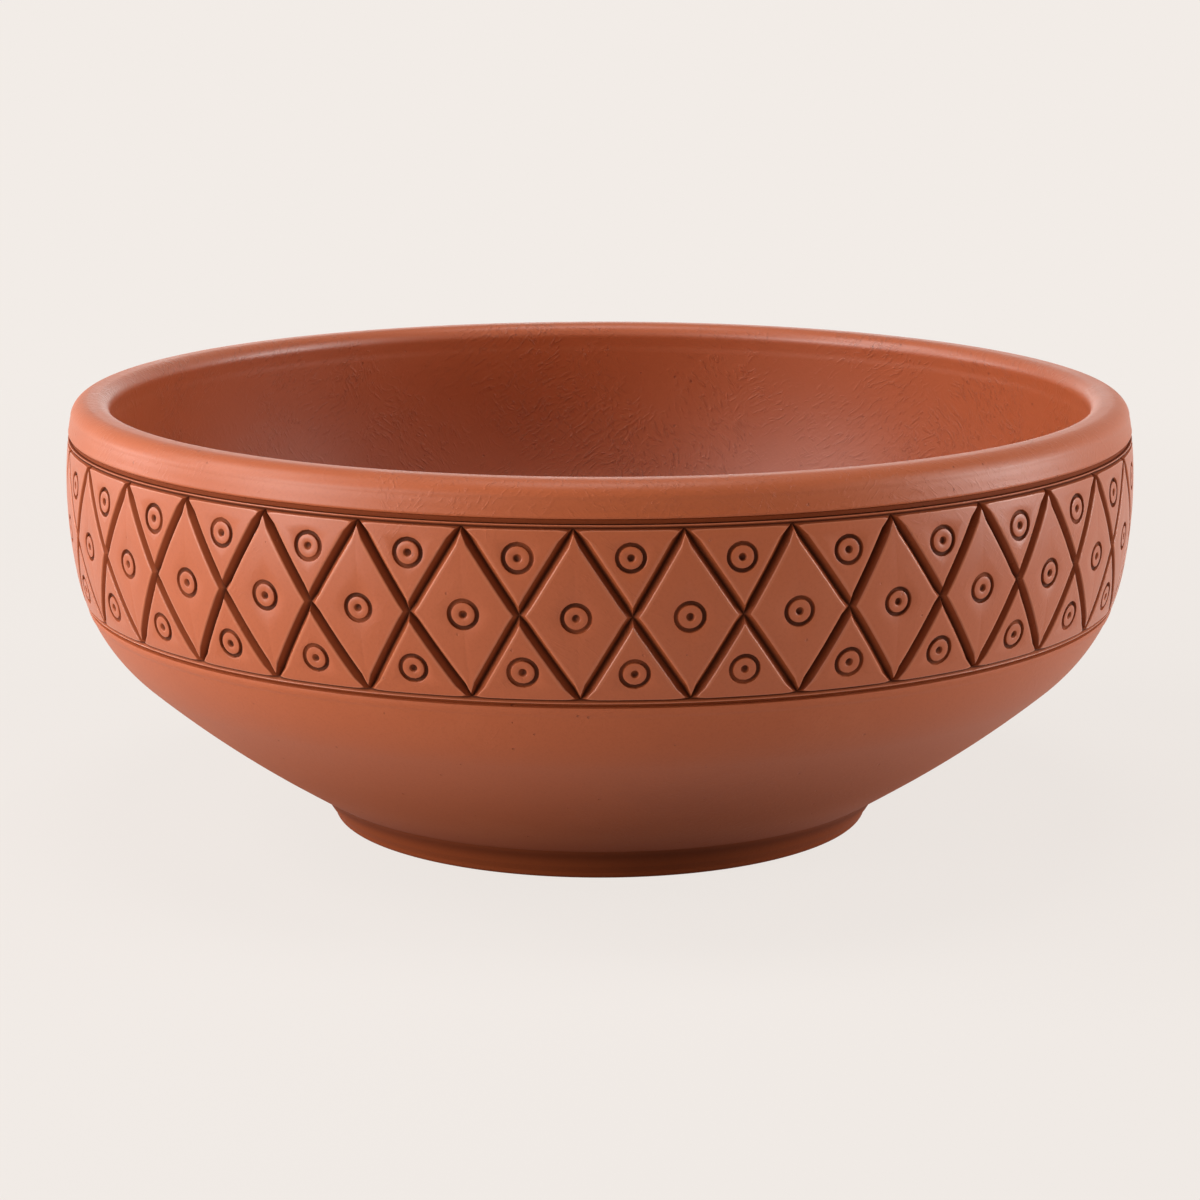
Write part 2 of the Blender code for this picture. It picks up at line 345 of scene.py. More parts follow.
@dataclass
class ClayGroups:
    """The effects that the clay finishes share, each built once as a node group.

    A noise is given by fineness, detail and roughness, and a ramp by the ends of its two ranges.
    """

    tone: bpy.types.NodeTree = field(init=False)
    marks: bpy.types.NodeTree = field(init=False)
    pores: bpy.types.NodeTree = field(init=False)
    cloud_noise: Numbers = (26.0, 3.0, 0.6)
    grain_noise: Numbers = (1500.0, 1.0)
    darker: Numbers = (0.52, 0.74)
    paler: Numbers = (0.46, 0.24)
    speckle: Numbers = (0.42, 0.80)
    drift_noise: Numbers = (85.0, 1.0)
    drift: float = 0.0085
    layers: tuple[Numbers, ...] = ((8.0, 720.0, 400.0, 24.0), (-5.0, 840.0, 360.0, 33.0))
    smear_noise: Numbers = (1.0, 2.0, 0.55)
    smear_height: float = 0.6
    flake_step: Numbers = (0.58, 0.65, 0.0, 0.38)
    patch_detail: float = 3.0
    patch_cover: Numbers = (0.43, 0.64, 0.08, 1.0)
    pore_cells: float = 400.0
    pore_size: Numbers = (0.86, 1.0, -0.05, 0.15)
    pore_edge: Numbers = (-0.03, 0.05)

    def __post_init__(self) -> None:
        """Builds the groups."""
        self.tone = self.build_tone()
        self.marks = self.build_marks()
        self.pores = self.build_pores()

    @staticmethod
    def group(name: str, inputs: dict[str, str], outputs: dict[str, str]) -> tuple[NodeMap, Any, Any]:
        """An empty group.

        Args:
            name: the group's name.
            inputs: the kind of each input socket, by name.
            outputs: the kind of each output socket, by name.

        Returns:
            its nodes, its input node's outputs and its output node.
        """
        tree = bpy.data.node_groups.new(name, "ShaderNodeTree")
        for direction, sockets in (("INPUT", inputs), ("OUTPUT", outputs)):
            for socket, kind in sockets.items():
                tree.interface.new_socket(socket, in_out=direction, socket_type="NodeSocket" + kind)
        nodes = NodeMap(tree)
        return nodes, nodes.add("NodeGroupInput", {}).outputs, nodes.add("NodeGroupOutput", {})

    def build_tone(self) -> bpy.types.NodeTree:
        """Clay colour: broad cloudy patches from the fire, and a fine grain.

        Returns:
            the group.
        """
        sockets = {"Place": "Vector", "Clay": "Color", "Dark": "Color", "Pale": "Color", "Patches": "Float"}
        nodes, given, result = self.group("clay_tone", sockets, {"Colour": "Color"})
        broad = nodes.noise(given["Place"], *self.cloud_noise)
        grain = nodes.noise(given["Place"], *self.grain_noise)
        tints = ((broad, self.darker, "Dark"), (broad, self.paler, "Pale"), (grain, self.speckle, "Dark"))
        colour = given["Clay"]
        for noise, span, tint in tints:
            share = nodes.math("MULTIPLY", nodes.ramp(noise, *span), given["Patches"])
            colour = nodes.mix(share, colour, given[tint])
        nodes.feed(result, {"Colour": colour})
        return nodes.tree

    def build_marks(self) -> bpy.types.NodeTree:
        """Height of the marks left by smoothing wet clay: smears and loose flakes, in drifting patches.

        The place is twisted about the upright axis, so that smears drawn out upwards wind round the bowl.
        Each layer has a twist, a fineness across and along its smears, and the fineness of its patches.
        A flake is a small step up wherever the smears stand highest.

        Returns:
            the group.
        """
        sockets = {"Place": "Vector", "Cover": "Float"}
        nodes, given, result = self.group("smoothing_marks", sockets, {"Height": "Float"})
        place = given["Place"]
        up = nodes.add("ShaderNodeSeparateXYZ", {0: place}).outputs[2]
        bend = nodes.stretched(nodes.noise(place, *self.drift_noise, output=1), (self.drift,) * 3)
        bent = nodes.add("ShaderNodeVectorMath", {0: place, 1: bend}, operation="ADD").outputs[0]
        total: Any = 0.0
        for twist, across, along, patch_scale in self.layers:
            turn = {"Vector": bent, "Angle": nodes.math("MULTIPLY", up, twist)}
            wound = nodes.add("ShaderNodeVectorRotate", turn, rotation_type="Z_AXIS").outputs[0]
            smear = nodes.noise(nodes.stretched(wound, (across, across, along)), *self.smear_noise)
            patch = nodes.ramp(nodes.noise(place, patch_scale, self.patch_detail), *self.patch_cover)
            step = nodes.ramp(smear, *self.flake_step)
            flake = nodes.math("MULTIPLY_ADD", smear, self.smear_height, step)
            total = nodes.math("MULTIPLY_ADD", flake, patch, total)
        nodes.feed(result, {"Height": nodes.math("MULTIPLY", total, given["Cover"])})
        return nodes.tree

    def build_pores(self) -> bpy.types.NodeTree:
        """Mask of the pores: small round pits, one to a cell at most, in loose swarms.

        Returns:
            the group.
        """
        nodes, given, result = self.group("pores", {"Place": "Vector"}, {"Pit": "Float"})
        inputs = {"Vector": given["Place"], "Scale": self.pore_cells}
        cells = nodes.add("ShaderNodeTexVoronoi", inputs).outputs
        chance = nodes.add("ShaderNodeSeparateColor", {0: cells["Color"]}).outputs[0]
        near = nodes.math("SUBTRACT", nodes.ramp(chance, *self.pore_size), cells["Distance"])
        nodes.feed(result, {"Pit": nodes.ramp(near, *self.pore_edge)})
        return nodes.tree


@dataclass(frozen=True)
class Inside:
    """What is different about a finish where the piece faces the bowl's inside."""

    marks: float
    roughness: float


@dataclass(frozen=True)
class Recess:
    """What carving does to a finish: dark clay in the lines, partly the clay's own colour and partly
    painted shade that deepens towards their bottoms, and lighter edges beside them, partly rubbed wear and
    partly a painted highlight.
    """

    colour: Colour = (0.280, 0.058, 0.016)
    edge: Colour = (0.64, 0.22, 0.11)
    stain_and_shade: Numbers = (0.05, 0.18, 0.0, 0.95)
    depth_shade: Numbers = (0.42, 1.0, 1.0, 0.28)
    rubbed_and_highlight: float = 0.34
    stain_roughness: float = 0.35
    edge_roughness: float = -0.18

    def over(self, nodes: NodeMap, colour: Any, rough: Any, coat: float) -> tuple[Any, Any, Any]:
        """Lays the carving's looks over a finish.

        Args:
            nodes: the material's nodes.
            colour: the finish's colour.
            rough: its roughness.
            coat: its gloss.

        Returns:
            the changed colour, roughness and gloss.
        """
        carve, arris = nodes.attribute("carve"), nodes.attribute("arris")
        # Darker clay in the lines: partly the clay's own colour and partly painted shade.
        stain_and_shade = nodes.ramp(carve, *self.stain_and_shade)
        # Painted shade, deepening towards black at the bottoms of the lines.
        shade = nodes.mix(nodes.ramp(carve, *self.depth_shade), BLACK, (*self.colour, 1.0))
        colour = nodes.mix(stain_and_shade, colour, shade)
        # Lighter edges beside the lines: partly rubbed wear and partly a painted highlight.
        colour = nodes.mix(nodes.math("MULTIPLY", arris, self.rubbed_and_highlight), colour, (*self.edge, 1.0))
        rough = nodes.math("MULTIPLY_ADD", stain_and_shade, self.stain_roughness, rough)
        rough = nodes.math("MULTIPLY_ADD", arris, self.edge_roughness, rough)
        return colour, rough, nodes.math("MULTIPLY_ADD", stain_and_shade, -coat, coat)


@dataclass(frozen=True)
class ClayFinish:
    """One finish of the clay: its colours, gloss and the depth of its marks."""

    name: str
    clay: Colour
    dark: Colour
    pale: Colour
    roughness: float
    marks: float
    relief: float
    patches: float = 0.30
    specular: float = 0.18
    coat: float = 0.0
    coat_roughness: float = 0.40
    pore_shade: float = 0.55
    pore_depth: float = 2.0
    mark_roughness: float = -0.06
    # The colour that painted shade darkens towards, if the finish takes any.
    deep: Colour | None = None
    recess: Recess | None = None
    inside: Inside | None = None

    def material(self, groups: ClayGroups) -> bpy.types.Material:
        """The finish as a material on object coordinates.

        Args:
            groups: the shared effects.

        Returns:
            the material.
        """
        made = bpy.data.materials.new(self.name)
        made.use_nodes = True
        nodes = NodeMap(made.node_tree)
        place = nodes.add("ShaderNodeTexCoord", {}).outputs["Object"]
        cover: Any = self.marks
        rough: Any = self.roughness
        coat: Any = self.coat
        if self.inside is not None:
            inside = nodes.attribute("inside")
            cover = nodes.math("MULTIPLY_ADD", inside, self.inside.marks - self.marks, self.marks)
            change = self.inside.roughness - self.roughness
            rough = nodes.math("MULTIPLY_ADD", inside, change, self.roughness)
            coat = nodes.math("MULTIPLY", nodes.attribute("burnish"), self.coat)
        clay, dark, pale = ((*colour, 1.0) for colour in (self.clay, self.dark, self.pale))
        colours = {"Clay": clay, "Dark": dark, "Pale": pale, "Patches": self.patches, "Place": place}
        tone = nodes.add("ShaderNodeGroup", colours, node_tree=groups.tone).outputs["Colour"]
        cover = {"Place": place, "Cover": cover}
        marks = nodes.add("ShaderNodeGroup", cover, node_tree=groups.marks).outputs["Height"]
        pit = nodes.add("ShaderNodeGroup", {"Place": place}, node_tree=groups.pores).outputs["Pit"]
        # Painted shade in the pores: their pits are darkened towards the dark tone.
        colour = nodes.mix(nodes.math("MULTIPLY", pit, self.pore_shade), tone, dark)
        # Painted shade: the colour is darkened towards the deep colour on the bowl's inside, on the flank
        # near the foot and in the slip's hollow by the foot.
        if self.deep is not None:
            colour = nodes.mix(nodes.attribute("deepen"), colour, (*self.deep, 1.0))
        rough = nodes.math("MULTIPLY_ADD", marks, self.mark_roughness, rough)
        if self.recess is not None:
            colour, rough, coat = self.recess.over(nodes, colour, rough, self.coat)
        height = nodes.math("SUBTRACT", marks, nodes.math("MULTIPLY", pit, self.pore_depth))
        bump = nodes.add("ShaderNodeBump", {"Height": height, "Distance": self.relief, "Strength": 1.0})
        looks = {"Base Color": colour, "Roughness": rough, "Normal": bump.outputs[0]}
        looks["Specular IOR Level"] = self.specular
        if self.coat:
            looks |= {"Coat Weight": coat, "Coat Roughness": self.coat_roughness}
        nodes.feed(made.node_tree.nodes["Principled BSDF"], looks)
        made.diffuse_color = clay
        return made


BURNISHED = ClayFinish(
    name="burnished_clay",
    clay=(0.435, 0.096, 0.028),
    dark=(0.345, 0.070, 0.018),
    pale=(0.500, 0.130, 0.048),
    roughness=0.70,
    marks=0.35,
    relief=0.00016,
    coat=0.62,
    # The colour that painted shade darkens towards.
    deep=(0.330, 0.066, 0.017),
    inside=Inside(marks=2.5, roughness=0.46),
)
RIM = replace(BURNISHED, name="rim_clay_burnished", roughness=0.47, marks=0.9)
CARVED = replace(
    BURNISHED,
    name="carved_clay_burnished",
    roughness=0.44,
    patches=0.28,
    marks=1.0,
    relief=0.00006,
    coat=0.50,
    deep=None,
    inside=None,
    recess=Recess(),
)
# The foot's clay is darker than the body's: partly its own plainer clay and partly painted shade, as the
# foot stands low where little light reaches.
FOOT = ClayFinish(
    name="foot_clay_plain",
    clay=(0.270, 0.056, 0.016),
    dark=(0.205, 0.041, 0.012),
    pale=(0.320, 0.077, 0.027),
    roughness=0.70,
    marks=0.4,
    relief=0.00010,
    specular=0.10,
)
FOOT_SLIP = replace(
    FOOT,
    name="foot_slip",
    clay=(0.300, 0.062, 0.018),
    dark=(0.230, 0.046, 0.014),
    pale=(0.340, 0.080, 0.027),
    roughness=0.75,
    # The colour that the slip's painted shade darkens towards.
    deep=(0.185, 0.036, 0.010),
)
SLIP = ClayFinish(
    name="fired_slip",
    clay=(0.200, 0.038, 0.009),
    dark=(0.140, 0.026, 0.006),
    pale=(0.250, 0.052, 0.014),
    roughness=0.75,
    marks=0.8,
    relief=0.00006,
    specular=0.12,
)


def dress(piece: bpy.types.Object, node: str, finish: bpy.types.Material) -> None:
    """Gives a piece its finish and its place in the frame, and reports it.

    Args:
        piece: the new piece.
        node: the solid that it stands for.
        finish: its material.
    """
    piece.data.materials.append(finish)
    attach(piece, "root")
    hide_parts(node)
    piece.data.calc_loop_triangles()
    LOG.info("%s: %d triangles", piece.name, len(piece.data.loop_triangles))


@dataclass
class BowlBody:
    """Floor, flank and upright wall, with the seat that the belt is laid on."""

    wall: WallOutline
    seams: Seams
    floor_top: float = 0.0165
    floor_fillet: float = 0.060
    ring_height: float = 0.00012
    ring_spacing: float = 0.0092
    plain_middle: float = 0.006
    under_inset: float = 0.0012
    flank_start: float = 0.0008
    ledge_round: float = 0.0006
    ledge_edge: float = 0.0003
    ledge_width: float = 0.0022
    seat_drop: float = 0.0018
    flank_burnish: float = 0.78
    burnish_from: float = 0.010
    burnish_rise: float = 0.046
    foot_shade: float = 0.9
    foot_shade_rise: float = 0.010
    calm_rise: float = 0.008
    calm_rows: int = 12
    ledge_calm_rows: int = 4
    under_points: int = 26
    flank_points: int = 72
    seat_points: int = 12
    side_points: int = 78
    bend_points: int = 24
    floor_points: int = 30
    table_size: int = 4001
    columns: int = 288
    wobble: HandWobble = HandWobble(size=0.00026, seed=11)

    def inside(self) -> Floats:
        """The inside from the wall's top edge down to the axis.

        Formula: the outline at the wall's thickness, then an arc that touches both it and the floor, then
        the floor, lifted and lowered in fading rings like a thrown floor.

        Returns:
            (rows, 2) radii and heights.
        """
        headings = np.linspace(0.0, self.wall.flank_end, self.table_size)
        walls = self.wall.point(headings, self.wall.thickness)
        lift = walls[:, 1] - self.floor_top - self.floor_fillet * (1.0 - np.cos(headings))
        meet = float(np.interp(0.0, lift, headings))
        corner = self.wall.point(meet, self.wall.thickness)
        flat = float(corner[0]) - self.floor_fillet * math.sin(meet)
        top = self.wall.heading_at(self.seams.wall_top + self.seams.tuck, self.wall.thickness)
        side = self.wall.point(np.linspace(top, meet, self.side_points), self.wall.thickness)
        middle = (flat, self.floor_top + self.floor_fillet)
        bend = arc(middle, self.floor_fillet, math.degrees(meet) - 90.0, -90.0, self.bend_points)
        floor = straight((flat, self.floor_top), (0.0, self.floor_top), self.floor_points)
        away = floor[:, 0]
        rings = self.ring_height * np.cos(away * math.tau / self.ring_spacing)
        floor[:, 1] += rings * ease(1.0 - away / flat) * ease(away / self.plain_middle)
        return np.concatenate([side, bend[1:], floor[1:]])

    def outside(self) -> Floats:
        """The outside from the axis under the floor to the wall's top edge.

        Returns:
            (rows, 2) radii and heights.
        """
        seams, wall = self.seams, self.wall
        base, ledge, top = seams.floor_underside, seams.ledge_height, seams.wall_top
        heading, under = wall.heading_at(ledge), float(wall.point(wall.heading_at(base))[0])
        floor = straight((0.0, base), (under - self.under_inset, base), self.under_points)
        flank = wall.run(base + self.flank_start, ledge - self.ledge_round, 0.0, self.flank_points)
        inward = wall.point(heading, np.array([self.ledge_edge, self.ledge_round, self.ledge_width]))
        corner = float(wall.point(heading)[1]) - self.seat_drop
        seat = wall.run(corner, top, seams.belt_thickness + seams.gap, self.seat_points)
        depth = wall.thickness - seams.tuck_width
        lip = [wall.run(height, height, depth, 1) for height in (top, top + seams.tuck)]
        return np.concatenate([floor, flank, inward, seat, *lip])

    def build(self, finish: bpy.types.Material) -> None:
        """Builds the body and dresses it.

        Args:
            finish: its material.
        """
        outside, inside = self.outside(), self.inside()
        profile = np.concatenate([outside, inside])
        row = np.arange(len(profile))
        within = row >= len(outside)
        above = profile[:, 1] - self.seams.floor_underside
        uneven = row < self.under_points + self.flank_points - self.ledge_calm_rows
        set_in = ease((row - len(outside)) / (self.calm_rows - 1))
        shown = np.where(within, set_in, uneven * ease(above / self.calm_rise))
        flank = self.flank_burnish * ease((above - self.burnish_from) / self.burnish_rise)
        burnish = np.where(within, INSIDE_BURNISH, flank)
        # Painted shade: the flank darkens towards the foot, where the crease lies in shade, and the inside
        # is darkened evenly.
        shade = self.foot_shade * (1.0 - ease(above / self.foot_shade_rise))
        deepen = np.where(within, INSIDE_PAINTED_SHADE, shade)
        points = turned(profile, self.columns, self.wobble, shown)
        draft = MeshDraft()
        draft.add(points, inside=within[:, None], burnish=burnish[:, None], deepen=deepen[:, None])
        dress(draft.build("bowl_body_clay"), "bowl_body", finish)


@dataclass
class FootRing:
    """The low ring that the bowl stands on."""

    wall: WallOutline
    seams: Seams
    taper: float = 0.0022
    edge: float = 0.0014
    top_edge: float = 0.0008
    sole_calm: float = 0.001
    top_calm: float = 0.002
    side_points: int = 8
    top_points: int = 6
    edge_points: int = 7
    top_edge_points: int = 5
    columns: int = 224
    wobble: HandWobble = HandWobble(size=0.00018, seed=23)

    def outer(self) -> float:
        """The radius of the ring's upper outer edge."""
        under = self.wall.point(self.wall.heading_at(self.seams.floor_underside))
        return float(under[0]) - self.seams.foot_setback

    def top(self) -> float:
        """The height of the ring's upper face."""
        return self.seams.floor_underside - self.seams.gap

    def side_lean(self) -> float:
        """How far the ring's outer side leans out for each metre up."""
        return self.taper / (self.top() - self.top_edge - self.edge)

    def profile(self) -> Floats:
        """Its section, up the outside and down the inside, with rounded edges.

        Returns:
            (rows, 2) radii and heights of a closed loop.
        """
        top, outer = self.top(), self.outer()
        inner, shoulder = outer - self.seams.foot_width, top - self.top_edge
        low, high = outer - self.taper - self.edge, outer - self.top_edge
        return np.concatenate(
            [
                straight((inner + self.edge, 0.0), (low, 0.0), self.side_points)[1:-1],
                arc((low, self.edge), self.edge, -90, 0, self.edge_points),
                straight((outer - self.taper, self.edge), (outer, shoulder), self.side_points)[1:-1],
                arc((high, shoulder), self.top_edge, 0, 90, self.top_edge_points),
                straight((high, top), (inner + self.top_edge, top), self.top_points)[1:-1],
                arc((inner + self.top_edge, shoulder), self.top_edge, 90, 180, self.top_edge_points),
                arc((inner + self.edge, self.edge), self.edge, 180, 270, self.edge_points),
            ]
        )

    def build(self, finish: bpy.types.Material) -> None:
        """Builds the ring and dresses it.

        Args:
            finish: its material.
        """
        profile = self.profile()
        height = profile[:, 1]
        shown = ease(height / self.sole_calm) * ease((self.top() - self.top_edge - height) / self.top_calm)
        draft = MeshDraft()
        draft.add(turned(profile, self.columns, self.wobble, shown), closed=True)
        dress(draft.build("foot_ring_clay"), "foot_ring", finish)


@dataclass
class RimCollar:
    """The thick coil that makes collar and lip."""

    wall: WallOutline
    seams: Seams
    outer_round: float = 0.0050
    inner_round: float = 0.0036
    bottom_round: float = 0.00055
    crease_height: float = 0.1090
    crease_depth: float = 0.00008
    crease_width: float = 0.0009
    gloss_from: float = 0.1050
    gloss_rise: float = 0.0050
    collar_burnish: float = 0.54
    lip_extra_burnish: float = 0.18
    crown_wear: float = 0.60
    calm_rise: float = 0.002
    face_points: int = 22
    bottom_points: int = 5
    round_points: int = 15
    inner_points: int = 14
    flat_points: int = 8
    lean_rounds: int = 6
    columns: int = 432
    wobble: HandWobble = HandWobble(size=0.00022, seed=5)

    def profile(self) -> Floats:
        """Its section, up the collar, over the lip and down the inside.

        Formula: the outline from the seam to the lip, less a soft crease shaped as a bell curve, then two
        arcs with the lip's crown between them, then the outline at the wall's thickness.

        Returns:
            (rows, 2) radii and heights of a closed loop.
        """
        wall, bottom = self.wall, self.seams.wall_top + self.seams.gap
        outer_joint, outer = self.rounding(self.outer_round, 0.0, 1.0)
        inner_joint, inner = self.rounding(self.inner_round, wall.thickness, -1.0)
        face = wall.run(bottom + self.bottom_round, outer_joint, 0.0, self.face_points)
        crease = np.exp(-(((face[:, 1] - self.crease_height) / self.crease_width) ** 2))
        face[:, 0] -= self.crease_depth * crease
        middle = (face[0, 0] - self.bottom_round, face[0, 1])
        foot = arc(middle, self.bottom_round, -90, 0, self.bottom_points)[:-1]
        tuck = bottom - self.seams.tuck
        inner_wall = wall.run(inner_joint, tuck, wall.thickness, self.inner_points)
        crown = straight(outer[-1], inner[0], self.flat_points)[1:-1]
        corner = inner_wall[-1, 0] + self.seams.tuck_width
        step = np.array([[corner, tuck]])
        under = straight((corner, bottom), foot[0], self.flat_points)[:-1]
        return np.concatenate([foot, face, outer[1:], crown, inner, inner_wall[1:], step, under])

    def rounding(self, radius: float, depth: float, side: float) -> tuple[float, Floats]:
        """A rounding of the lip that runs smoothly into one side of the wall.

        Formula: the wall's lean at the joint is found in a few rounds. The arc's middle lies square to the
        wall there, and its top is the lip's.

        Args:
            radius: radius of the rounding.
            depth: distance into the clay of that side of the wall.
            side: 1 for the outside, -1 for the inside.

        Returns:
            the joint's height, and the arc's points in the order of the section.
        """
        top = self.wall.rim_height
        joint, lean = top - radius, 0.0
        for _ in range(self.lean_rounds):
            lean = self.wall.heading_at(joint, depth) - math.pi / 2
            joint = top - radius * (1.0 - side * math.sin(lean))
        met = self.wall.run(joint, joint, depth, 1)[0]
        middle = (met[0] - side * radius * math.cos(lean), top - radius)
        angle = math.degrees(lean)
        ends = (angle, 90.0) if side > 0 else (90.0, 180.0 + angle)
        return joint, arc(middle, radius, *ends, self.round_points)

    def build(self, finish: bpy.types.Material) -> None:
        """Builds the collar and dresses it.

        Args:
            finish: its material.
        """
        profile = self.profile()
        height = profile[:, 1]
        shown = ease((height - self.seams.wall_top - self.seams.gap) / self.calm_rise)
        middle = (profile[:, 0].min() + profile[:, 0].max()) / 2.0
        inside = ease(0.5 + (middle - profile[:, 0]) / self.wall.thickness)[:, None]
        crown = ease(1.0 - (self.wall.rim_height - height) / self.inner_round)[:, None]
        high = ease((height - self.gloss_from) / self.gloss_rise)[:, None]
        outside = self.collar_burnish + self.lip_extra_burnish * high
        burnish = (outside + (INSIDE_BURNISH - outside) * inside) * (1.0 - self.crown_wear * crown)
        points = turned(profile, self.columns, self.wobble, shown)
        draft = MeshDraft()
        # The collar's inner face takes the same painted shade as the bowl's inside.
        draft.add(points, closed=True, inside=inside, burnish=burnish, deepen=INSIDE_PAINTED_SHADE * inside)
        dress(draft.build("rim_collar_clay"), "rim_collar", finish)


class Groove(Enum):
    """Kinds of carved line: half-width and depth of each."""

    DIAGONAL = (0.00148, 0.00210)
    UPPER_BORDER = (0.00055, 0.00070)
    LOWER_BORDER = (0.00046, 0.00060)


class Meeting(Enum):
    """Places where carved lines meet: half-width and depth there, and how far off they ease into it."""

    APEX = (0.00085, 0.00120, 0.0024)
    CROSSING = (0.00136, 0.00115, 0.0024)


@dataclass
class CarvedBelt:
    """The strip round the wall, carved into diamonds and triangles, with a stamp in each.

    It is laid out flat: across is the distance round it and down is the distance from the lattice's top.
    """

    wall: WallOutline
    seams: Seams
    diamonds: int = 34
    turn: float = 0.29
    margin: float = 0.0008
    mean_radius: float = 0.1375
    edge_points: int = 14
    border_points: int = 10
    back_points: int = 14
    wobble: HandWobble = HandWobble(size=0.00022, seed=31)
    start: float = -0.033
    off_across: float = 0.010
    off_down: float = 0.00018
    corner_seed: int = 47
    lean: tuple[float, float] = (0.071, 0.055)
    stamp_radius: float = 0.00375
    stamp_depth: float = 0.00070
    stamp_off: float = 0.00016
    stamp_sizes: tuple[float, float] = (0.97, 1.03)
    stamp_presses: tuple[float, float] = (0.85, 1.15)
    stamp_tilt: float = 0.22
    stamp_seeds: tuple[int, ...] = (61, 62, 63)
    groove_rows: Numbers = (0.0, 0.10, 0.50, 0.82, 0.92, 1.0, 1.08, 1.5)
    groove_fall: Numbers = (1.0, 0.91, 0.50, 0.150, 0.055, 0.014, 0.0, 0.0)
    groove_arris: Numbers = (0.0, 0.0, 0.0, 0.10, 0.80, 1.0, 0.80, 0.0)
    ring_rows: Numbers = (1.03, 1.0, 0.95, 0.85, 0.75, 0.70, 0.67)
    ring_fall: Numbers = (0.0, 0.06, 0.85, 1.0, 0.85, 0.06, 0.0)
    dot_rows: Numbers = (0.30, 0.26, 0.19, 0.09, 0.0)
    dot_fall: Numbers = (0.0, 0.10, 0.85, 1.0, 1.0)
    ridge_rows: Numbers = (0.0, 0.4, 0.85, 1.15)
    margin_rows: Numbers = (0.72, 0.86, 0.96, 1.0, 1.0)
    border_fall: Numbers = (1.0, 0.82, 0.22, 0.0, 0.0, 0.0, 0.0, 0.0, 0.0)
    border_sunk: Numbers = (0.0, 0.0, 0.0, 0.0, 0.0, 0.00004, 0.00014, 0.00032, 0.0014)
    border_arris: Numbers = (0.0, 0.0, 0.4, 1.0, 1.0, 0.8, 0.3, 0.0, 0.0)
    # Carve share given where the belt's edge sinks towards the seam, so it takes the recess's darker clay
    # and painted shade there.
    sunk_stain_and_shade: float = 1000.0
    top: float = field(init=False)
    upper_length: float = field(init=False)
    length: float = field(init=False)
    width: float = field(init=False)
    draft: MeshDraft = field(default_factory=MeshDraft)

    def __post_init__(self) -> None:
        """Works out the lattice's place on the outline."""
        wall = self.wall
        bottom = wall.heading_at(self.seams.ledge_height)
        bottom += (self.seams.gap + self.margin) / wall.shoulder_radius
        self.top = wall.heading_at(self.seams.wall_top) - self.margin / wall.band_radius
        self.upper_length = wall.band_radius * (self.top - wall.shoulder_end)
        self.length = self.upper_length + wall.shoulder_radius * (wall.shoulder_end - bottom)
        self.width = math.tau * self.mean_radius / self.diamonds

    def rolled(self, flat: Floats, depth: Floats) -> Floats:
        """Flat places rolled onto the outline.

        Formula: the distance down gives the heading, arc by arc; the distance across gives the angle
        about the axis; the depth goes into the clay, with the hand's unevenness added.

        Args:
            flat: (..., 2) distances across and down.
            depth: (...) depths of the carving.

        Returns:
            (..., 3) points.
        """
        wall, down = self.wall, flat[..., 1]
        heading = np.where(
            down < self.upper_length,
            self.top - down / wall.band_radius,
            wall.shoulder_end - (down - self.upper_length) / wall.shoulder_radius,
        )
        angle = math.tau * (flat[..., 0] / self.width + self.turn) / self.diamonds
        place = wall.point(heading, depth + self.wobble.depth(angle, down))
        radius = place[..., 0]
        return np.stack([radius * np.cos(angle), radius * np.sin(angle), place[..., 1]], axis=-1)

    def corners(self) -> tuple[Floats, Floats, Floats]:
        """The lattice's corners: upper apexes, crossings and lower apexes.

        Formula: apexes are a diamond apart and crossings half-way between them. Each is a little off its
        place, and the lower ones lean to one side by an amount that changes slowly round the bowl.

        Returns:
            three (diamonds, 2) arrays of flat places.
        """
        chance = np.random.default_rng(self.corner_seed)
        number = np.arange(self.diamonds)
        rows = []
        for share, shift in ((0.0, 0.0), (0.5, 0.5), (1.0, 0.0)):
            angle = math.tau * (number + shift + self.turn) / self.diamonds + math.pi / 2
            lean = self.lean[0] + self.lean[1] * np.sin(angle)
            off = chance.normal(0.0, self.off_across, self.diamonds)
            across = number + shift + self.start + lean * share + off
            wander = chance.normal(0.0, self.off_down, self.diamonds) * (share == 0.5)
            rows.append(np.stack([across * self.width, share * self.length + wander], axis=-1))
        return rows[0], rows[1], rows[2]

    @staticmethod
    def spaced(count: int) -> Floats:
        """Shares along an edge, a little closer towards its ends, without the last one."""
        share = np.arange(count) / count
        return (share + 0.5 - 0.5 * np.cos(math.pi * share)) / 2.0

    @staticmethod
    def along_edge(share: Floats, length: Floats, ends: tuple[Meeting, Meeting], groove: Groove) -> Floats:
        """Half-width and depth along a carved line.

        Formula: the line's own size, eased at each end into that of the meeting there.

        Args:
            share: (points,) places along the line from 0 to 1.
            length: (lines,) lengths.
            ends: the meetings at its ends.
            groove: the kind of line.

        Returns:
            (2, lines, points) half-widths and depths.
        """
        distance = share[None, :] * length[:, None]
        near = 1.0 - ease(distance / ends[0].value[2])
        far = 1.0 - ease((length[:, None] - distance) / ends[1].value[2])
        own, first, last = (np.array(kind.value[:2])[:, None, None] for kind in (groove, *ends))
        return own + (first - own) * near + (last - own) * far

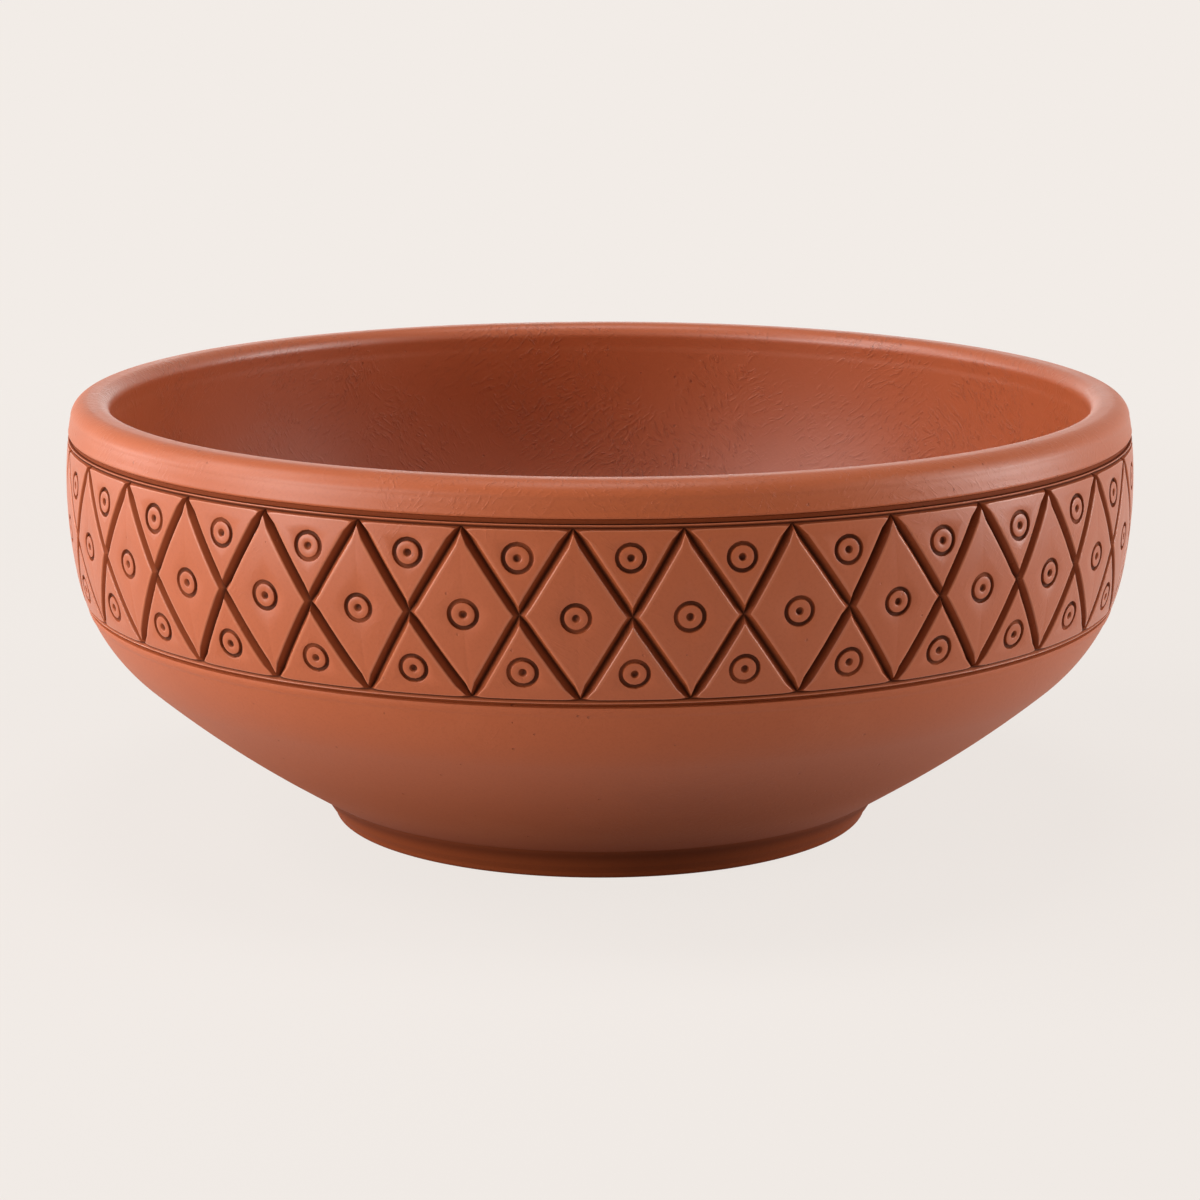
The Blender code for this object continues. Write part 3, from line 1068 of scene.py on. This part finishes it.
    def add_tiles(
        self, corners: Floats, meetings: tuple[Meeting, ...], grooves: tuple[Groove, ...], seed: int
    ) -> None:
        """Adds one tile for each set of corners.

        Formula: the tile's edge runs along the middles of the lines round it. Each row after it is the edge
        drawn in towards the tile's centre, by a share of the line's half-width, which climbs out of the
        groove. The rows then go over from that outline to circles, for a pressed ring and dot.

        Args:
            corners: (tiles, corners, 2) flat places in order round the tile.
            meetings: what each corner is.
            grooves: what the line from each corner to the next is.
            seed: for the unevenness of the stamps.
        """
        tiles, sides = corners.shape[:2]
        step = np.roll(corners, -1, axis=1) - corners
        lengths = np.linalg.norm(step, axis=-1)
        weights = np.roll(lengths, -1, axis=1) if sides == 3 else np.ones_like(lengths)
        centre = (corners * weights[..., None]).sum(axis=1) / weights.sum(axis=1)[:, None]
        away = corners - centre[:, None]
        cross = away[..., 0] * step[..., 1] - away[..., 1] * step[..., 0]
        inner = (np.abs(cross) / lengths).mean(axis=1)
        edge, sizes = [], []
        for side, groove in enumerate(grooves):
            share = self.spaced(self.edge_points if groove is Groove.DIAGONAL else self.border_points)
            edge.append(corners[:, side, None] + step[:, side, None] * share[None, :, None])
            ends = meetings[side], meetings[(side + 1) % sides]
            sizes.append(self.along_edge(share, lengths[:, side], ends, groove))
        border = np.concatenate(edge, axis=1)
        half_width, deep = np.concatenate(sizes, axis=2)
        outward = border - centre[:, None]
        pull = half_width / inner[:, None]
        rows = np.array(self.groove_rows)[:, None, None]
        drawn = centre[:, None] + outward * (1.0 - rows * pull)[..., None]
        fall = np.array(self.groove_fall)[:, None, None] * deep

        chance = np.random.default_rng(seed)
        middle = centre + chance.normal(0.0, self.stamp_off, (tiles, 2))
        size = self.stamp_radius * chance.uniform(*self.stamp_sizes, tiles)
        press = self.stamp_depth * chance.uniform(*self.stamp_presses, tiles)
        tilt = chance.uniform(0.0, math.tau, tiles)[:, None]
        spoke = outward / np.linalg.norm(outward, axis=-1, keepdims=True)
        facing = spoke[..., 0] * np.cos(tilt) + spoke[..., 1] * np.sin(tilt)
        uneven = 1.0 + self.stamp_tilt * facing
        radii = np.array(self.ring_rows + self.dot_rows)[:, None, None]
        circles = middle[:, None] + spoke * (radii * size[:, None])[..., None]
        pressed = np.array(self.ring_fall + self.dot_fall)[:, None, None] * press[:, None] * uneven
        pressed[-1] = pressed[-1].mean(axis=-1, keepdims=True)
        between = (drawn[-1:] + circles[:1]) / 2.0

        level = np.zeros_like(fall[:1])
        flat = np.concatenate([drawn, between, circles]).swapaxes(0, 1)
        depth = np.concatenate([fall, level, pressed]).swapaxes(0, 1)
        carve = np.concatenate([fall / deep, level, pressed / self.stamp_depth]).swapaxes(0, 1)
        arris = np.zeros((flat.shape[1], 1))
        arris[: len(self.groove_arris), 0] = self.groove_arris
        self.draft.add(self.rolled(flat, depth), carve=carve, arris=arris)

    def border_rows(self, apexes: Floats, groove: Groove, base: float, sign: float) -> Floats:
        """Rows from the middle of a border line, over the ridge beside it, to the belt's edge.

        Formula: the first rows lie shares of the line's half-width past its middle and climb out of it. The
        others lie shares of the margin past it and sink round the edge.

        Args:
            apexes: (diamonds, 2) corners on the border.
            groove: the kind of line.
            base: the border's distance down.
            sign: -1 above the lattice, 1 below it.

        Returns:
            (5, rows, points) distances across, distances down, depths, carve and arris.
        """
        share = self.spaced(self.border_points)
        step = np.roll(apexes, -1, axis=0) - apexes
        step[-1, 0] += self.width * self.diamonds
        across = (apexes[:, None] + step[:, None] * share[None, :, None])[..., 0].reshape(-1)
        ends = Meeting.APEX, Meeting.APEX
        size = self.along_edge(share, np.linalg.norm(step, axis=-1), ends, groove)
        half_width, deep = size.reshape(2, -1)
        ridge, margin = np.array(self.ridge_rows), np.array(self.margin_rows)
        past = np.concatenate([ridge * half_width.min(), margin * self.margin])[:, None]
        fall, sunk, arris = np.array([self.border_fall, self.border_sunk, self.border_arris])[..., None]
        # Where the edge sinks towards the seam, it takes darker clay and painted shade.
        rows = (across, base + sign * past, fall * deep + sunk, fall + self.sunk_stain_and_shade * sunk, arris)
        return np.stack(np.broadcast_arrays(*rows))

    def add_edges(self, upper: Floats, lower: Floats) -> None:
        """Adds the border ridges, the belt's edges and its back, as one grid from border to border.

        Args:
            upper: (diamonds, 2) upper apexes.
            lower: (diamonds, 2) lower apexes.
        """
        above = self.border_rows(upper, Groove.UPPER_BORDER, 0.0, -1.0)
        below = self.border_rows(lower, Groove.LOWER_BORDER, self.length, 1.0)
        share = np.linspace(0.0, 1.0, self.back_points)[:, None]
        across = above[0, 0] + (below[0, 0] - above[0, 0]) * share
        down = -self.margin + (self.length + 2 * self.margin) * share
        back = np.stack(np.broadcast_arrays(across, down, self.seams.belt_thickness, 1.0, 0.0))
        across, down, depth, carve, arris = np.concatenate([above, back, below[:, ::-1]], axis=1)
        points = self.rolled(np.stack([across, down], axis=-1), depth)
        self.draft.add(points[None], carve=carve, arris=arris)

    def build(self, finish: bpy.types.Material) -> None:
        """Builds the belt from its tiles and edges and dresses it.

        Args:
            finish: its material.
        """
        upper, crossing, lower = self.corners()
        whole = np.array([self.width * self.diamonds, 0.0])

        def following(points: Floats) -> Floats:
            """The next corner round, for each corner of a row."""
            return np.concatenate([points[1:], points[:1] + whole])

        before = np.concatenate([crossing[-1:] - whole, crossing[:-1]])
        apex, cross, line = Meeting.APEX, Meeting.CROSSING, Groove.DIAGONAL
        triangle = apex, apex, cross
        kinds = (
            ((upper, crossing, lower, before), (apex, cross, apex, cross), (line, line, line, line)),
            ((upper, following(upper), crossing), triangle, (Groove.UPPER_BORDER, line, line)),
            ((following(lower), lower, crossing), triangle, (Groove.LOWER_BORDER, line, line)),
        )
        for (corners, meetings, grooves), seed in zip(kinds, self.stamp_seeds):
            self.add_tiles(np.stack(corners, axis=1), meetings, grooves, seed)
        self.add_edges(upper, lower)
        dress(self.draft.build("carved_belt_clay"), "carved_belt", finish)


@dataclass
class SlipSeams:
    """The three lines of slip that the pieces are joined with."""

    wall: WallOutline
    seams: Seams
    foot: FootRing
    round: float = 0.00012
    inner_setback: float = 0.0022
    cove_drop: float = 0.0016
    cove_rise: float = 0.0016
    cove_points: int = 15
    proud: float = 0.00003
    washer_inset: float = 0.001
    flange_dip: Numbers = (0.0002, 0.00003, 0.0, 0.00003, 0.0002)
    round_points: int = 5
    sleeve_points: int = 24
    columns: int = 240
    wobble: HandWobble = HandWobble(size=0.00012, seed=71)

    def washer(self, inner: float, outer: float, bottom: float) -> Floats:
        """The section of a flat ring of slip with rounded edges.

        Args:
            inner: its inner radius.
            outer: its outer radius.
            bottom: the height of its lower face.

        Returns:
            (rows, 2) radii and heights of a closed loop.
        """
        size, top = self.round, bottom + self.seams.gap - 2.0 * self.seams.clearance
        right, left, low, high = outer - size, inner + size, bottom + size, top - size
        corners = ((right, low, -90), (right, high, 0), (left, high, 90), (left, low, 180))
        return np.concatenate(
            [arc((out, up), size, turn, turn + 90, self.round_points) for out, up, turn in corners]
        )

    def cove(self) -> Floats:
        """The section of the slip over the foot, wiped into a hollow curve from ring to flank.

        Formula: a quadratic curve from the ring's side to the flank. Its middle point is the corner where
        their lines cross, so it leaves both of them without an edge. The rest is the washer behind it.

        Returns:
            (rows, 2) radii and heights of a closed loop.
        """
        wall, seams, foot = self.wall, self.seams, self.foot
        lean, edge_height = foot.side_lean(), foot.top() - foot.top_edge
        heading = wall.heading_at(seams.floor_underside + self.cove_rise)
        high = wall.point(heading, -self.proud)
        climb = np.array([math.cos(heading), math.sin(heading)])
        side = foot.outer() + self.proud + (high[1] - edge_height) * lean
        corner = high - climb * (high[0] - side) / (climb[0] - climb[1] * lean)
        low = np.array([foot.outer() + self.proud - self.cove_drop * lean, edge_height - self.cove_drop])
        share = np.linspace(0.0, 1.0, self.cove_points)[:, None]
        curve = (1.0 - share) ** 2 * low + 2.0 * share * (1.0 - share) * corner + share**2 * high
        washer = self.washer(
            foot.outer() - seams.foot_width + seams.foot_slip_setback,
            foot.outer() - self.washer_inset,
            foot.top() + seams.clearance,
        )
        return np.concatenate([curve, np.roll(washer, -self.round_points, axis=0)])

    def cove_shade(self, rows: int) -> Floats:
        """Painted shade on each row of the slip over the foot: darkest in the middle of its hollow curve.
        """
        hollow = np.sin(np.linspace(0.0, math.pi, self.cove_points)) ** 2
        return np.pad(hollow, (0, rows - self.cove_points))[:, None]

    def sleeve(self) -> Floats:
        """The section of the slip behind the belt, with its flange turned out under the belt.

        Returns:
            (rows, 2) radii and heights of a closed loop.
        """
        seams, wall = self.seams, self.wall
        front = seams.belt_thickness + seams.clearance
        ledge = wall.heading_at(seams.ledge_height)
        low = ledge + seams.clearance / wall.shoulder_radius
        high = ledge + (seams.gap - seams.clearance) / wall.shoulder_radius
        top = wall.heading_at(seams.wall_top) - seams.clearance / wall.band_radius
        back = seams.belt_thickness + seams.gap - seams.clearance
        dip = np.array(self.flange_dip)
        flange = wall.point(np.linspace(low, high, len(dip)), seams.setback + dip)
        up = wall.point(np.linspace(high, top, self.sleeve_points), front)
        return np.concatenate([flange, up, wall.point(np.linspace(top, low, self.sleeve_points), back)])

    def build(self, finish: bpy.types.Material, foot_finish: bpy.types.Material) -> None:
        """Builds the three seams and dresses them.

        Args:
            finish: the material of the belt's and the rim's seams.
            foot_finish: the material of the foot's.
        """
        seams, wall = self.seams, self.wall
        inside = wall.point(wall.heading_at(seams.wall_top, wall.thickness), wall.thickness)
        outside = wall.point(wall.heading_at(seams.wall_top))
        rim = self.washer(
            float(inside[0]) + self.inner_setback,
            float(outside[0]) - seams.setback,
            seams.wall_top + seams.clearance,
        )
        lines = (
            ("foot_slip", self.cove(), foot_finish, None),
            ("belt_slip", self.sleeve(), finish, self.wobble),
            ("rim_slip", rim, finish, self.wobble),
        )
        for name, profile, own_finish, wobble in lines:
            draft = MeshDraft()
            # The slip over the foot takes painted shade, darkest in its hollow.
            values = {} if wobble else {"deepen": self.cove_shade(len(profile))}
            draft.add(turned(profile, self.columns, wobble), closed=True, **values)
            dress(draft.build(name + "_line"), name + "_seam", own_finish)


@dataclass(frozen=True)
class SoftBox:
    """One soft lamp, aimed at the bowl."""

    name: str
    azimuth: float
    elevation: float
    width: float
    height: float
    power: float
    distance: float = 1.5

    def build(self, aim: tuple[float, float, float]) -> None:
        """Puts the lamp in the scene.

        Args:
            aim: the point that it faces.
        """
        data = bpy.data.lights.new(self.name, "AREA")
        data.shape = "RECTANGLE"
        data.size, data.size_y = self.width, self.height
        data.energy = self.power
        lamp = bpy.data.objects.new(self.name, data)
        azimuth, elevation = math.radians(self.azimuth), math.radians(self.elevation)
        flat = self.distance * math.cos(elevation)
        lamp.location = (
            aim[0] + flat * math.sin(azimuth),
            aim[1] - flat * math.cos(azimuth),
            aim[2] + self.distance * math.sin(elevation),
        )
        lamp.rotation_euler = (math.pi / 2 - elevation, 0.0, azimuth)
        lamp.visible_camera = False
        bpy.context.scene.collection.objects.link(lamp)


LAMPS = (
    SoftBox("left_front_softbox", -64, 8, 0.6, 0.42, 10.9),
    SoftBox("left_softbox", -108, 8, 0.5, 0.42, 4.6),
    SoftBox("left_middle_softbox", -75, 25, 0.6, 0.5, 4.0),
    SoftBox("left_high_softbox", -90, 42, 0.6, 0.6, 8.9),
    SoftBox("right_softbox", 89, 8, 0.7, 0.42, 11.2),
    SoftBox("right_high_softbox", 85, 28, 0.6, 0.5, 4.6),
    SoftBox("front_softbox", -42, 19, 0.5, 0.42, 3.1),
    SoftBox("back_softbox", 180, 10, 0.8, 0.4, 1.0),
    SoftBox("top_softbox", 0, 89, 0.6, 0.6, 7.6),
)


@dataclass
class Studio:
    """Camera, lamps, pale surroundings and floor."""

    lens: float = 105.0
    sensor: float = 36.0
    distance: float = 0.93529
    elevation: float = 0.2123
    aim: tuple[float, float, float] = (0.0, 0.0, 0.05616)
    pale: Colour = (0.888, 0.839, 0.799)
    floor_radius: float = 14.0
    floor_shade: float = 0.08
    floor_light: float = 1.22
    shade_reach: tuple[float, float] = (0.22, 0.80)
    bounce: tuple[float, float] = (0.15, 0.82)
    bounce_reach: tuple[float, float] = (0.08, 0.25)
    surround: float = 0.03
    far: float = 100.0
    floor_rows: int = 12
    floor_columns: int = 64

    def camera(self) -> None:
        """Puts the camera at the photograph's angle."""
        data = bpy.data.cameras.new("photo_camera")
        data.lens, data.sensor_width = self.lens, self.sensor
        data.clip_end = self.far
        camera = bpy.data.objects.new("photo_camera", data)
        back, up = math.cos(self.elevation), math.sin(self.elevation)
        camera.location = (0.0, -self.distance * back, self.aim[2] + self.distance * up)
        camera.rotation_euler = (math.pi / 2 - self.elevation, 0.0, 0.0)
        bpy.context.scene.collection.objects.link(camera)
        bpy.context.scene.camera = camera

    @staticmethod
    def show(nodes: NodeMap, seen: bpy.types.Node, unseen: bpy.types.Node, output: str) -> None:
        """Ends a tree with one shader for rays that show the surface and another for all others.

        Rays show it directly, in a mirror or through glass.

        Args:
            nodes: the tree's nodes.
            seen: the shader for the rays that show it.
            unseen: the shader for the others.
            output: the type of the output node.
        """
        path = nodes.add("ShaderNodeLightPath", {}).outputs
        mirrored = nodes.math("MAXIMUM", path["Is Camera Ray"], path["Is Glossy Ray"])
        share = nodes.math("MAXIMUM", mirrored, path["Is Transmission Ray"])
        both = {0: share, 1: unseen.outputs[0], 2: seen.outputs[0]}
        mixed = nodes.add("ShaderNodeMixShader", both)
        nodes.add(output, {"Surface": mixed.outputs[0]})

    def floor(self) -> None:
        """A wide pale floor that keeps the bowl's shadow and fades into the surroundings.

        Formula: a grid over radius and angle, flat at the foot's height. Near the bowl a share of its
        brightness comes from the lamps, and further off all of it is its own. It throws less light back
        close to the foot.
        """
        radius = np.linspace(0.0, 1.0, self.floor_rows)[:, None] ** 2 * self.floor_radius
        angle = np.linspace(0.0, math.tau, self.floor_columns, endpoint=False)[None, :]
        points = np.stack([radius * np.cos(angle), radius * np.sin(angle), radius * angle * 0.0], axis=-1)
        draft = MeshDraft()
        draft.add(points[None])
        floor = draft.build("studio_floor")
        made = bpy.data.materials.new("pale_floor")
        made.use_nodes = True
        made.node_tree.nodes.clear()
        nodes = NodeMap(made.node_tree)
        place = nodes.add("ShaderNodeTexCoord", {}).outputs["Object"]
        away = nodes.add("ShaderNodeVectorMath", {0: place}, operation="LENGTH").outputs["Value"]
        share = nodes.ramp(away, *self.shade_reach, self.floor_shade, 0.0)
        lit = nodes.mix(share, BLACK, (*self.pale, 1.0))
        own = nodes.math("MULTIPLY_ADD", share, -self.floor_light, 1.0)
        glow = nodes.add("ShaderNodeEmission", {"Color": (*self.pale, 1.0), "Strength": own})
        matt = nodes.add("ShaderNodeBsdfDiffuse", {"Color": lit})
        shown = nodes.add("ShaderNodeAddShader", {0: glow.outputs[0], 1: matt.outputs[0]})
        bounce = nodes.ramp(away, *self.bounce_reach, *self.bounce)
        returned = nodes.mix(bounce, BLACK, (*self.pale, 1.0))
        dim = nodes.add("ShaderNodeBsdfDiffuse", {"Color": returned})
        self.show(nodes, shown, dim, "ShaderNodeOutputMaterial")
        floor.data.materials.append(made)

    def surroundings(self) -> None:
        """Pale where it is seen, and a weak even light elsewhere."""
        world = bpy.data.worlds.new("pale_studio")
        world.use_nodes = True
        world.node_tree.nodes.clear()
        nodes = NodeMap(world.node_tree)
        pale = nodes.add("ShaderNodeBackground", {"Color": (*self.pale, 1.0), "Strength": 1.0})
        white = {"Color": (1.0, 1.0, 1.0, 1.0), "Strength": self.surround}
        self.show(nodes, pale, nodes.add("ShaderNodeBackground", white), "ShaderNodeOutputWorld")
        bpy.context.scene.world = world

    def build(self) -> None:
        """Sets the studio up."""
        self.camera()
        self.floor()
        self.surroundings()
        for lamp in LAMPS:
            lamp.build(self.aim)
        bpy.context.scene.view_settings.view_transform = "Standard"
        LOG.info("studio: %d lamps", len(LAMPS))


def main() -> None:
    """Builds the bowl piece by piece, then the studio."""
    logging.basicConfig(level=logging.INFO, format="%(name)s %(message)s")
    wall, seams, groups = WallOutline(), Seams(), ClayGroups()
    BowlBody(wall, seams).build(BURNISHED.material(groups))
    foot = FootRing(wall, seams)
    foot.build(FOOT.material(groups))
    CarvedBelt(wall, seams).build(CARVED.material(groups))
    RimCollar(wall, seams).build(RIM.material(groups))
    SlipSeams(wall, seams, foot).build(SLIP.material(groups), FOOT_SLIP.material(groups))
    Studio().build()


if __name__ == "__main__":
    main()
